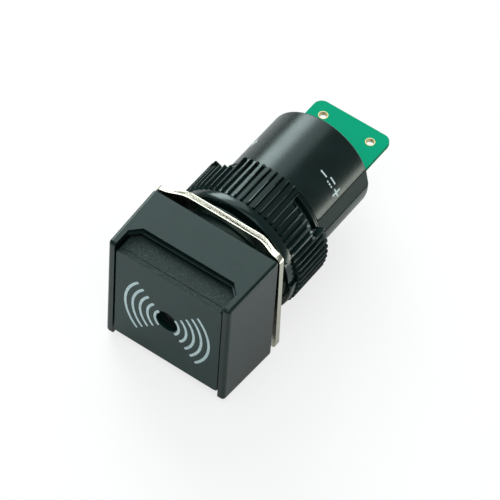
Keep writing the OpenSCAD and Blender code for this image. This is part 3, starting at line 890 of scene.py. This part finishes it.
class SOUNDER_OT_spring_plate(bpy.types.Operator):
    """Make the bowed spring plate"""

    bl_idname = "sounder.spring_plate"
    bl_label = "Spring plate"

    def execute(self, context):
        s = context.scene.sounder
        head, fix = s.head, s.fixing
        w, h = head.width / 2, head.height / 2 - 0.05 * MM
        y = 0.05 * MM + fix.rise
        bm = block((-w, y, -h), (w, y + fix.plate, h))
        toe = w - fix.toe
        for x in (-toe, -fix.bend, fix.bend, toe):
            bmesh.ops.bisect_plane(bm, geom=bm.verts[:] + bm.edges[:] + bm.faces[:], dist=1e-7,
                                   plane_co=(x, 0, 0), plane_no=(1, 0, 0))
        for v in bm.verts:
            if abs(v.co.x) > w - 1e-6:
                v.co.y -= fix.rise
            elif abs(v.co.x) > toe - 1e-6:
                v.co.y -= fix.rise - fix.toe_rise
        round_edges(bm, lambda e: along(e, 2) and abs(abs(middle(e).x) - fix.bend) < 1e-6, 0.7 * MM, 5)
        round_edges(bm, lambda e: along(e, 2) and abs(abs(middle(e).x) - toe) < 1e-6, 0.35 * MM, 3)
        round_edges(bm, lambda e: abs(middle(e).x) > w - 1e-6 and abs(abs(middle(e).z) - h) < 1e-6
                    and abs(e.verts[0].co.y - e.verts[1].co.y) > 0.5 * fix.plate, 0.8 * MM, 6)
        bmesh.ops.rotate(bm, cent=(0, 0.05 * MM, head.height / 2), matrix=Matrix.Rotation(fix.tilt, 3, "X"),
                         verts=bm.verts)
        bm = carve(bm, drum(-MM, 6 * MM, fix.plate_hole))
        round_edges(bm, lambda e: bend(e) > 60, 0.07 * MM, 2)
        piece("bowed_spring", bm, "plate", finishes()["nickel"], ["spring_plate"])
        return {"FINISHED"}


class SOUNDER_OT_lock_ring(bpy.types.Operator):
    """Make the keyed lock ring"""

    bl_idname = "sounder.lock_ring"
    bl_label = "Lock ring"

    def execute(self, context):
        s = context.scene.sounder
        fix, barrel = s.fixing, s.barrel
        y0, y1, r = fix.ring_front, fix.ring_back, fix.ring
        ring = turned([(fix.ring_bore, y0), (r - 0.16 * MM, y0), (r - 0.05 * MM, y0 + 0.05 * MM),
                       (r, y0 + 0.16 * MM), (r, y1 - 0.14 * MM), (r - 0.04 * MM, y1 - 0.04 * MM),
                       (r - 0.14 * MM, y1), (fix.ring_bore, y1)], steps=240)
        step = turned([(fix.ring_step, y0 - MM), (r + MM, y0 - MM), (r + MM, y1 + MM),
                       (fix.ring_step, y1 + MM)],
                      barrel.key_angle - fix.ring_step_half, 2 * fix.ring_step_half, 24)
        ring = carve(ring, step)
        ends = lambda e: (bend(e) > 50 and middle(e).xz.length > fix.ring_step + 0.05 * MM)
        round_edges(ring, ends, 0.12 * MM, 3)
        half = barrel.keyway / 2 - 0.08 * MM
        key = spun(block((barrel.root - 0.02 * MM, y0 + 0.02 * MM, -half),
                         (fix.ring_bore + 0.2 * MM, y1 - 0.02 * MM, half)), barrel.key_angle)
        piece("keyed_ring", join(ring, key), "ring", finishes()["hardware"], ["lock_ring"])
        return {"FINISHED"}


class SOUNDER_OT_nut(bpy.types.Operator):
    """Make the ribbed, castellated ring nut"""

    bl_idname = "sounder.nut"
    bl_label = "Ring nut"

    def execute(self, context):
        fix = context.scene.sounder.fixing
        crest, foot = 0.09, 0.24
        low = fix.nut - fix.rib
        rib = ((-foot, low), (-crest, fix.nut), (crest, fix.nut), (foot, low))
        count = fix.ribs * len(rib)
        bm = bmesh.new()
        outer = bmesh.ops.create_circle(bm, segments=count, radius=fix.nut)["verts"]
        bmesh.ops.create_circle(bm, segments=count, radius=fix.ring_bore)
        for i, v in enumerate(sorted(outer, key=lambda v: math.atan2(v.co.y, v.co.x) % math.tau)):
            lean, r = rib[i % len(rib)]
            a = (i // len(rib) + lean) * math.tau / fix.ribs
            v.co = (r * math.cos(a), r * math.sin(a), 0)
        bmesh.ops.bridge_loops(bm, edges=bm.edges[:])
        bmesh.ops.rotate(bm, matrix=Matrix.Rotation(math.radians(90), 3, "X"), verts=bm.verts)
        bmesh.ops.translate(bm, vec=(0, fix.nut_front, 0), verts=bm.verts)

        def grow(faces, span):
            out = bmesh.ops.extrude_face_region(bm, geom=faces)["geom"]
            moved = [g for g in out if isinstance(g, bmesh.types.BMVert)]
            bmesh.ops.translate(bm, vec=(0, span, 0), verts=moved)
            return [g for g in out if isinstance(g, bmesh.types.BMFace)]

        def in_gap(face):
            c = face.calc_center_median()
            away = (math.atan2(c.z, c.x) - fix.gap_middle) % (math.tau / fix.gaps)
            return min(away, math.tau / fix.gaps - away) < fix.gap_turn / 2

        chamfer = 0.22 * MM
        layer = grow(bm.faces[:], chamfer)
        layer = grow(layer, fix.nut_back - fix.gap_depth - fix.nut_front - chamfer)
        teeth = [f for f in layer if not in_gap(f)]
        grow(grow(teeth, fix.gap_depth - chamfer), chamfer)
        for v in bm.verts:
            out = v.co.xz.length
            at_end = min(abs(v.co.y - fix.nut_front), abs(v.co.y - fix.nut_back)) < 1e-6
            if at_end and out > fix.nut - 0.7 * fix.rib:
                v.co.xz = v.co.xz.normalized() * (out - 0.16 * MM)
        bmesh.ops.recalc_face_normals(bm, faces=bm.faces)
        crest_edge = lambda e: along(e, 1) and bend(e) > 40 and middle(e).xz.length > fix.nut - 0.1 * fix.rib
        round_edges(bm, crest_edge, 0.06 * MM, 2)
        piece("ribbed_nut", bm, "nut", finishes()["ribbed"], ["mounting_nut"], 30.0)
        return {"FINISHED"}


# ---------------------------------------------------------------- rear body


class SOUNDER_OT_sleeve(bpy.types.Operator):
    """Make the polished rear sleeve with its collar and window"""

    bl_idname = "sounder.sleeve"
    bl_label = "Rear sleeve"

    def execute(self, context):
        s = context.scene.sounder
        rear, barrel = s.rear, s.barrel
        front, back, r, bore = rear.sleeve_front, rear.sleeve_back, rear.sleeve, rear.sleeve_bore
        groove = front + rear.collar_length
        start = groove + rear.groove
        e = 0.06 * MM
        bm = turned([(bore, front), (rear.collar - e, front), (rear.collar, front + e),
                     (rear.collar, groove - e), (rear.collar - e, groove), (r - 0.3 * MM, groove),
                     (r - 0.3 * MM, start), (r - 0.08 * MM, start), (r, start + 0.08 * MM),
                     (r, back - 0.28 * MM), (r - 0.035 * MM, back - 0.14 * MM),
                     (r - 0.12 * MM, back - 0.04 * MM), (r - 0.24 * MM, back), (bore + 0.06 * MM, back),
                     (bore, back - 0.06 * MM)], steps=240)
        half, c = barrel.keyway / 2, rear.window_corner
        window = block((bore - MM, start, -half), (r + MM, back + MM, half))
        mouth = block((bore - MM, start, -half - c), (r + MM, start + c, half + c))
        for side in (1, -1):
            post = bmesh.new()
            bmesh.ops.create_cone(post, cap_ends=True, segments=48, radius1=c, radius2=c, depth=6 * MM)
            bmesh.ops.rotate(post, matrix=Matrix.Rotation(math.radians(90), 3, "Y"), verts=post.verts)
            bmesh.ops.translate(post, vec=(r, start + c, side * (half + c)), verts=post.verts)
            mouth = carve(mouth, post)
        bm = carve(bm, spun(mouth, barrel.key_angle))
        bm = carve(bm, spun(window, barrel.key_angle))
        across = Vector((-math.sin(barrel.key_angle), 0, math.cos(barrel.key_angle)))
        outwards = Vector((math.cos(barrel.key_angle), 0, math.sin(barrel.key_angle)))

        def rim(e):
            m = middle(e)
            return (bend(e) > 50 and m.y > start + 0.1 * MM and m.dot(outwards) > 0
                    and abs(m.dot(across)) < half + c + 0.1 * MM and m.xz.length > r - 0.05 * MM)

        round_edges(bm, rim, 0.1 * MM, 3)
        piece("glossy_sleeve", bm, "device", finishes()["sleeve"], ["rear_sleeve"], 35.0)
        return {"FINISHED"}


def sleeve_stroke(rear, y0, y1, a0, a1):
    """One printed stroke that lies on the sleeve between two places and two angles."""
    r = rear.sleeve
    bm = bmesh.new()
    ends = [bm.verts.new((r, y, 0)) for y in (y0, y1)]
    edge = bm.edges.new(ends)
    bmesh.ops.rotate(bm, matrix=Matrix.Rotation(a0, 3, (0, -1, 0)), verts=bm.verts)
    bmesh.ops.spin(bm, geom=ends + [edge], cent=(0, 0, 0), axis=(0, -1, 0), dvec=(0, 0, 0), angle=a1 - a0,
                   steps=max(2, int(math.degrees(a1 - a0) / 1.5)))
    return bm


class SOUNDER_OT_marks(bpy.types.Operator):
    """Print plain supply marks on the sleeve: a plus, the sign for direct current and a minus"""

    bl_idname = "sounder.marks"
    bl_label = "Supply marks"

    def execute(self, context):
        rear = context.scene.sounder.rear
        line = rear.mark_line
        width = line / rear.sleeve
        y = (rear.mark_front + rear.mark_back) / 2
        glyph, pitch = math.radians(8.5), math.radians(11.5)
        dash, dash_pitch = 0.24 * glyph, 0.38 * glyph
        strokes = []
        for plus in (math.radians(27), math.radians(140)):
            stem = plus + (glyph - width) / 2
            direct, minus = plus + pitch, plus + 2 * pitch
            strokes += [(rear.mark_front + 0.3 * MM, rear.mark_back - 0.3 * MM, stem, stem + width),
                        (y - line / 2, y + line / 2, plus, plus + glyph),
                        (y + 0.34 * MM, y + 0.34 * MM + line, direct, direct + glyph),
                        (y - line / 2, y + line / 2, minus, minus + glyph)]
            dashes = [direct + i * dash_pitch for i in range(3)]
            strokes += [(y - 0.36 * MM, y - 0.36 * MM + line, a, a + dash) for a in dashes]
        bm = join(*[sleeve_stroke(rear, *stroke) for stroke in strokes])
        for v in bm.verts:
            v.co.xz = v.co.xz.normalized() * (rear.sleeve + 0.006 * MM)
        bmesh.ops.recalc_face_normals(bm, faces=bm.faces)
        bmesh.ops.solidify(bm, geom=bm.faces[:], thickness=0.01 * MM)
        piece("supply_marks", bm, "device", finishes()["ink"])
        return {"FINISHED"}


class SOUNDER_OT_carrier(bpy.types.Operator):
    """Make the matt carrier with its key rib, and the cast resin behind it"""

    bl_idname = "sounder.carrier"
    bl_label = "Carrier and resin"

    def execute(self, context):
        s, f = context.scene.sounder, finishes()
        rear, barrel, board = s.rear, s.barrel, s.board
        e = 0.08 * MM
        tube = turned([(rear.carrier_bore, rear.carrier_front), (rear.carrier - e, rear.carrier_front),
                       (rear.carrier, rear.carrier_front + e), (rear.carrier, rear.carrier_back - e),
                       (rear.carrier - e, rear.carrier_back), (rear.carrier_bore + e, rear.carrier_back),
                       (rear.carrier_bore, rear.carrier_back - e)])
        half = barrel.keyway / 2 - 0.1 * MM
        start = rear.sleeve_front + rear.collar_length + rear.groove + 0.05 * MM
        rib = block((rear.carrier_bore + 0.05 * MM, start, -half),
                    (rear.rib_top, rear.sleeve_back - 0.05 * MM, half))
        round_edges(rib, lambda e: middle(e).x > rear.rib_top - 1e-6, 0.1 * MM, 3)
        rails = []
        for sx in (1, -1):
            for sz in (1, -1):
                x0, x1 = sorted(sx * (rear.carrier_bore + d) for d in (-0.75 * MM, 0.2 * MM))
                z0, z1 = sorted(sz * (board.thickness / 2 + d) for d in (0.05 * MM, 0.75 * MM))
                rails.append(block((x0, board.front, z0), (x1, rear.carrier_back - rear.resin, z1)))
        piece("matt_carrier", join(tube, spun(rib, barrel.key_angle), *rails), "device", f["carrier"],
              ["inner_carrier"])

        r, back = rear.carrier_bore - 0.05 * MM, rear.carrier_back
        deep = back - rear.resin + 0.05 * MM
        resin = turned([(0.0, deep), (r, deep), (r, back - 0.1 * MM), (r - 0.15 * MM, back - 0.2 * MM),
                        (r - 0.5 * MM, back - 0.29 * MM), (r - 1.2 * MM, back - 0.33 * MM),
                        (0.0, back - 0.35 * MM)])
        slot = block((-board.width / 2, board.front, -board.thickness / 2),
                     (board.width / 2, board.back, board.thickness / 2))
        piece("cast_resin", carve(resin, slot), "device", f["resin"], ["rear_potting"])
        return {"FINISHED"}


def upright(bm, x, y):
    """Moves a mesh made at the origin to its place on the board."""
    bmesh.ops.translate(bm, vec=(x, y, 0), verts=bm.verts)
    return bm


class SOUNDER_OT_board(bpy.types.Operator):
    """Make the circuit board with its two plated wire eyelets"""

    bl_idname = "sounder.board"
    bl_label = "Circuit board"

    def execute(self, context):
        board, f = context.scene.sounder.board, finishes()
        w, t = board.width / 2, board.thickness / 2
        bm = block((-w, board.front, -t), (w, board.back, t))
        round_edges(bm, lambda e: along(e, 2) and middle(e).y > board.back - 1e-6, board.corner, 10)
        y = board.back - board.inset
        spots = [(side * board.pitch / 2, y) for side in (1, -1)]
        for x, y in spots:
            hole = bmesh.new()
            bmesh.ops.create_cone(hole, cap_ends=True, segments=48, radius1=board.hole + board.plating,
                                  radius2=board.hole + board.plating, depth=4 * MM)
            bm = carve(bm, upright(hole, x, y))
        round_edges(bm, lambda e: bend(e) > 60 and min(math.hypot(middle(e).x - x, middle(e).y - y)
                                                     for x, y in spots) > board.hole + 3 * board.plating,
                    0.05 * MM, 2)
        piece("solder_board", bm, "device", f["board"], ["circuit_board"], 35.0)

        rings = []
        for x, y in spots:
            ring = bmesh.new()
            a, b = board.hole, board.hole + board.plating
            lip = [(b, t), (b + 0.04 * MM, t + 0.01 * MM), (b + 0.03 * MM, t + 0.03 * MM),
                   (a + 0.03 * MM, t + 0.03 * MM), (a, t)]
            profile = lip + [(r, -z) for r, z in reversed(lip)]
            verts = [ring.verts.new((r, 0, z)) for r, z in profile]
            edges = [ring.edges.new((verts[i], verts[i - 1])) for i in range(len(verts))]
            bmesh.ops.spin(ring, geom=verts + edges, cent=(0, 0, 0), axis=(0, 0, 1), dvec=(0, 0, 0),
                           angle=math.tau, steps=48, use_merge=True)
            bmesh.ops.remove_doubles(ring, verts=ring.verts, dist=1e-7)
            rings.append(upright(ring, x, y))
        piece("wire_eyelets", join(*rings), "device", f["gold"], ["solder_eyelets"])
        return {"FINISHED"}


class SOUNDER_OT_inside(bpy.types.Operator):
    """Give every carried-over part inside the sounder its finish"""

    bl_idname = "sounder.inside"
    bl_label = "Inner parts"

    def execute(self, context):
        f = finishes()
        slots = {p["node"]: p["material_slot"] for p in frame["record"]["subparts"]}
        for name, node in frame["nodes"].items():
            node.data.materials.clear()
            node.data.materials.append(f[slots[name]])
        return {"FINISHED"}


# ---------------------------------------------------------------- stage


def soft_lamp(name, spot, aim, size, watts, tone):
    """A rectangular lamp at one place, turned to face another."""
    lamp = bpy.data.lights.new(name, "AREA")
    lamp.shape, lamp.size, lamp.size_y = "RECTANGLE", size[0], size[1]
    lamp.energy, lamp.color = watts, tone
    o = bpy.data.objects.new(name, lamp)
    o.location = spot
    o.rotation_euler = (Vector(aim) - Vector(spot)).to_track_quat("-Z", "Y").to_euler()
    bpy.context.scene.collection.objects.link(o)
    return o


def pale_floor(z, mirrored=0.35):
    """A wide floor that shows white, and keeps a soft part of the object's shadow."""
    bm = bmesh.new()
    bmesh.ops.create_grid(bm, x_segments=8, y_segments=8, size=6.0)
    bmesh.ops.translate(bm, vec=(0, 0, z), verts=bm.verts)
    floor = as_object("floor", bm)
    m = bpy.data.materials.new("pale floor")
    m.use_nodes = True
    nodes, links = m.node_tree.nodes, m.node_tree.links
    nodes.clear()

    def put(kind, links_in=(), **values):
        n = nodes.new("ShaderNode" + kind)
        for key, value in values.items():
            n.inputs[key].default_value = value
        for socket, source in links_in:
            links.new(source, n.inputs[socket])
        return n

    def share(operation, first, second):
        n = put("Math", [(0, first)])
        n.operation = operation
        if isinstance(second, float):
            n.inputs[1].default_value = second
        else:
            links.new(second, n.inputs[1])
        return n.outputs[0]

    plain = put("BsdfDiffuse", Color=(0.8, 0.8, 0.8, 1))
    shadowed = put("BsdfDiffuse", Color=(0.3, 0.3, 0.3, 1))
    glow = put("Emission", Color=(1, 1, 1, 1), Strength=0.75)
    seen = put("AddShader", [(0, shadowed.outputs[0]), (1, glow.outputs[0])])
    path = put("LightPath").outputs
    pick = share("MAXIMUM", path["Is Camera Ray"], share("MULTIPLY", path["Is Glossy Ray"], mirrored))
    pick = share("MAXIMUM", pick, path["Is Transmission Ray"])
    mixed = put("MixShader", [(0, pick), (1, plain.outputs[0]), (2, seen.outputs[0])])
    put("OutputMaterial", [("Surface", mixed.outputs[0])])
    floor.data.materials.append(m)


def surroundings(strength, tint):
    """Even, dim light from all round."""
    world = bpy.data.worlds.new("studio")
    bpy.context.scene.world = world
    world.use_nodes = True
    back = world.node_tree.nodes["Background"]
    back.inputs["Color"].default_value = (*tint, 1)
    back.inputs["Strength"].default_value = strength


class SOUNDER_OT_stage(bpy.types.Operator):
    """Set the floor, the soft studio light and the camera"""

    bl_idname = "sounder.stage"
    bl_label = "Stage"

    def execute(self, context):
        st = context.scene.sounder.stage
        bottom = CAD_BOX[0][2]
        pale_floor(bottom - 0.02 * MM)
        tint = tuple(st.tint)
        surroundings(st.world, tint)
        aim = Vector(st.target)
        for name, offset, side, power in (("softbox", (-0.40, 0.43, 0.57), 0.7, st.softbox),
                                          ("key", (-0.51, 0.39, 0.38), 0.34, st.key),
                                          ("overhead", (0.1, -0.25, 0.95), 0.9, st.overhead)):
            soft_lamp(name, aim + Vector(offset), aim, (side, side), power, tint)
        spot = Vector((0.082, 0.053, bottom + MM))
        glow = soft_lamp("low warm lamp", spot, spot + Vector((0, 0, 1)), (0.09, 0.06), st.warm, WARM_LIGHT)
        glow.visible_camera = False

        data = bpy.data.cameras.new("camera")
        data.lens, data.sensor_width, data.clip_start, data.clip_end = st.lens, SENSOR_WIDTH, 0.01, 50.0
        camera = bpy.data.objects.new("camera", data)
        context.scene.collection.objects.link(camera)
        level = math.cos(st.elevation)
        away = Vector((math.sin(st.azimuth) * level, -math.cos(st.azimuth) * level, math.sin(st.elevation)))
        look = (-away).to_track_quat("-Z", "Y").to_matrix() @ Matrix.Rotation(-st.roll, 3, "Z")
        camera.matrix_world = Matrix.Translation(aim + away * st.distance) @ look.to_4x4()
        context.scene.camera = camera
        context.scene.view_settings.view_transform = "Standard"
        return {"FINISHED"}


# ---------------------------------------------------------------- panel and registration

STEPS = (SOUNDER_OT_inside, SOUNDER_OT_housing, SOUNDER_OT_cap, SOUNDER_OT_print, SOUNDER_OT_spring_plate,
         SOUNDER_OT_lock_ring, SOUNDER_OT_nut, SOUNDER_OT_sleeve, SOUNDER_OT_marks, SOUNDER_OT_carrier,
         SOUNDER_OT_board, SOUNDER_OT_stage)
GROUPS = (HeadSizes, BarrelSizes, CapSizes, WaveSizes, FixingSizes, RearSizes, BoardSizes, FinishColours,
          StageSettings)


class SOUNDER_PT_panel(bpy.types.Panel):
    """Sizes, finishes and steps of the sounder"""

    bl_idname = "SOUNDER_PT_panel"
    bl_label = "Panel-mount sounder"
    bl_space_type = "VIEW_3D"
    bl_region_type = "UI"
    bl_category = "Sounder"

    def draw(self, context):
        settings = context.scene.sounder
        for part in ("head", "barrel", "cap", "waves", "fixing", "rear", "board", "finishes", "stage"):
            group = getattr(settings, part)
            box = self.layout.box()
            box.label(text=part.capitalize())
            for key in group.__annotations__:
                box.prop(group, key)
        for step in STEPS:
            self.layout.operator(step.bl_idname)


CLASSES = GROUPS + (SounderSettings,) + STEPS + (SOUNDER_PT_panel,)


def register():
    """Registers the add-on's classes and its settings."""
    for cls in CLASSES:
        bpy.utils.register_class(cls)
    bpy.types.Scene.sounder = PointerProperty(type=SounderSettings)


def unregister():
    """Takes the settings and the classes away again."""
    del bpy.types.Scene.sounder
    for cls in reversed(CLASSES):
        bpy.utils.unregister_class(cls)


def main():
    """Runs every step."""
    register()
    for step in STEPS:
        group, name = step.bl_idname.split(".")
        getattr(getattr(bpy.ops, group), name)()


if __name__ == "__main__":
    main()
